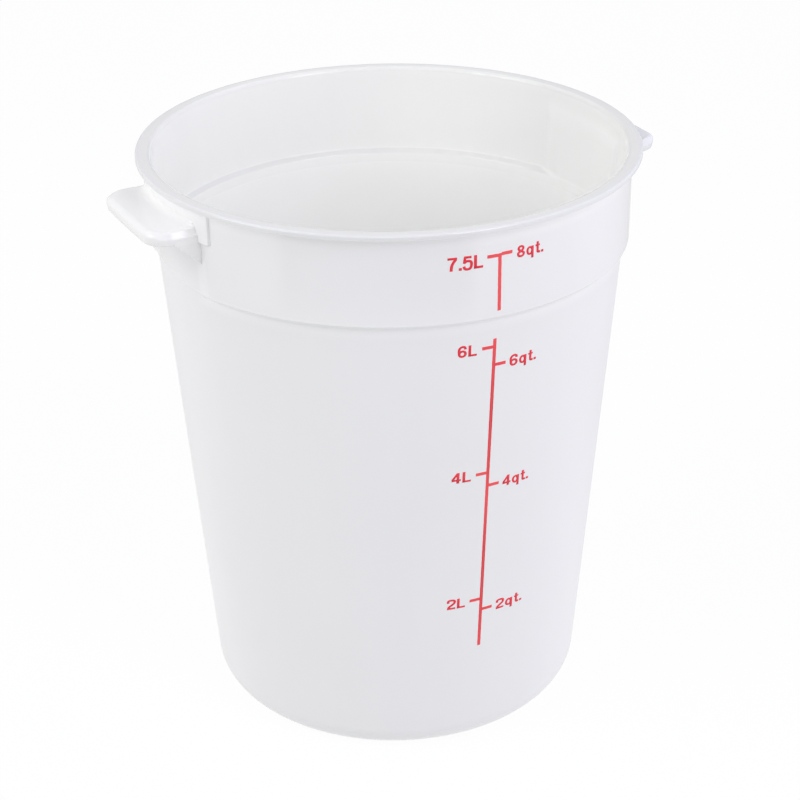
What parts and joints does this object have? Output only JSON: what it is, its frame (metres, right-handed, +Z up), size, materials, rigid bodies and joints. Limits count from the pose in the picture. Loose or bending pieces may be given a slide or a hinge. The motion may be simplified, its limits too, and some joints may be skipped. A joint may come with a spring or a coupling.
{
  "type": "food storage container",
  "caption": "Round open food storage bucket in white plastic, with a stepped band, a rim flange, side handles and a printed fill scale.",
  "frame": {"origin": "centre of the base, on the surface that the container stands on", "axes": "+Z up out of the open mouth, +X towards the right handle, and the printed scale faces -Y"},
  "size_m": [0.2556, 0.228, 0.273],
  "materials": {
    "white_body": "satin white polyethylene, smoother on the band",
    "white_handle": "satin white polyethylene",
    "red_ink": "thin printed ink"
  },
  "bodies": {
    "root": {"container_body": "white_body", "left_handle": "white_handle", "right_handle": "white_handle", "upper_scale_line": "red_ink", "lower_scale_line": "red_ink"}
  },
  "joints": []
}
